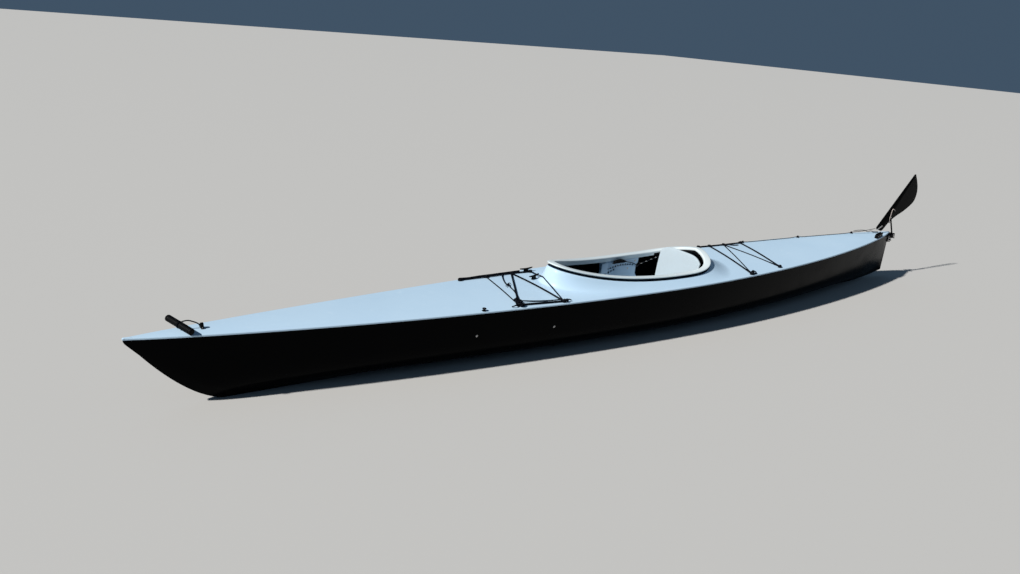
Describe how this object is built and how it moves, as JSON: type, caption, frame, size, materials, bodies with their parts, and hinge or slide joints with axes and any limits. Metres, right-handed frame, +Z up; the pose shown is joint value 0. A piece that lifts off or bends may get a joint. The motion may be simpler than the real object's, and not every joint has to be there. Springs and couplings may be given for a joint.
{
  "type": "touring kayak",
  "caption": "Decked touring kayak with black hull, pale deck, raised cockpit rim, seat, shock cord deck nets, bow toggle and a lifting, steering rudder raised over the stern.",
  "frame": {"origin": "On the floor under the middle of the whole boat's box, raised rudder blade included; the boat's own middle lies 130 mm ahead of it.", "axes": "+X to the bow, +Y to port, +Z up; the flat of the keel stands on Z = 0."},
  "size_m": [5.464, 0.611, 0.7582],
  "materials": {
    "hull": "gloss",
    "deck": "gloss",
    "coaming": "gloss",
    "seat_shell": "satin",
    "backrest_panel": "satin",
    "hip_pad_foam": "matt",
    "bulkhead_foam": "matt",
    "rail_metal": "brushed",
    "pedal_plastic": "satin",
    "fitting_plastic": "satin",
    "button_plastic": "satin",
    "shock_cord": "woven",
    "thin_line": "woven",
    "flecked_line": "woven",
    "bracket_metal": "brushed",
    "rudder_plastic": "satin",
    "blade_plate": "satin"
  },
  "bodies": {
    "boat": {"hull": "hull", "deck": "deck", "coaming": "coaming", "cheek_plate_port": "seat_shell", "cheek_plate_starboard": "seat_shell", "seat_pan": "seat_shell", "backrest": "backrest_panel", "hip_pad_port": "hip_pad_foam", "hip_pad_starboard": "hip_pad_foam", "bulkhead_fore": "bulkhead_foam", "bulkhead_aft": "bulkhead_foam", "foot_rail_port": "rail_metal", "foot_rail_starboard": "rail_metal", "cleat_middle": "fitting_plastic", "cleat_starboard": "fitting_plastic", "bow_eye": "fitting_plastic", "bow_toggle": "fitting_plastic", "quarter_block": "fitting_plastic", "fairlead_1": "fitting_plastic", "fairlead_2": "fitting_plastic", "fairlead_3": "fitting_plastic", "fore_button_port_a": "button_plastic", "fore_button_port_b": "button_plastic", "fore_button_port_c": "button_plastic", "fore_button_starboard_a": "button_plastic", "fore_button_starboard_b": "button_plastic", "fore_button_starboard_c": "button_plastic", "fore_button_starboard_d": "button_plastic", "aft_button_port_a": "button_plastic", "aft_button_port_b": "button_plastic", "aft_button_starboard_a": "button_plastic", "aft_button_starboard_b": "button_plastic", "aft_button_starboard_c": "button_plastic", "aft_button_starboard_d": "button_plastic", "fore_bungee": "shock_cord", "aft_bungee": "shock_cord", "lift_line": "thin_line", "bow_cord": "thin_line", "backrest_cord_port": "flecked_line", "backrest_cord_starboard": "flecked_line", "stern_bracket": "bracket_metal"},
    "rudder_head": {"rudder_head": "rudder_plastic"},
    "rudder_blade": {"rudder_blade": "blade_plate"},
    "pedal_port": {"pedal_port": "pedal_plastic"},
    "pedal_starboard": {"pedal_starboard": "pedal_plastic"}
  },
  "joints": [
    {"name": "rudder_steer", "type": "hinge", "parent": "boat", "child": "rudder_head", "pos_m": [-2.502, 0, 0.276], "axis": [0, 0, 1], "range_deg": [-30, 30]},
    {"name": "rudder_lift", "type": "hinge", "parent": "rudder_head", "child": "rudder_blade", "pos_m": [-2.525, 0, 0.307], "axis": [0, -1, 0], "range_deg": [0, 145]},
    {"name": "pedal_slide_port", "type": "slide", "parent": "boat", "child": "pedal_port", "axis": [0.9959, -0.0899, 0], "range_m": [-0.032, 0.032]},
    {"name": "pedal_slide_starboard", "type": "slide", "parent": "boat", "child": "pedal_starboard", "axis": [0.9959, 0.0899, 0], "range_m": [-0.032, 0.032]}
  ],
  "couplings": [
    {"joint": "pedal_slide_port", "follows": "rudder_steer", "m_per_rad": -0.06},
    {"joint": "pedal_slide_starboard", "follows": "rudder_steer", "m_per_rad": 0.06}
  ]
}
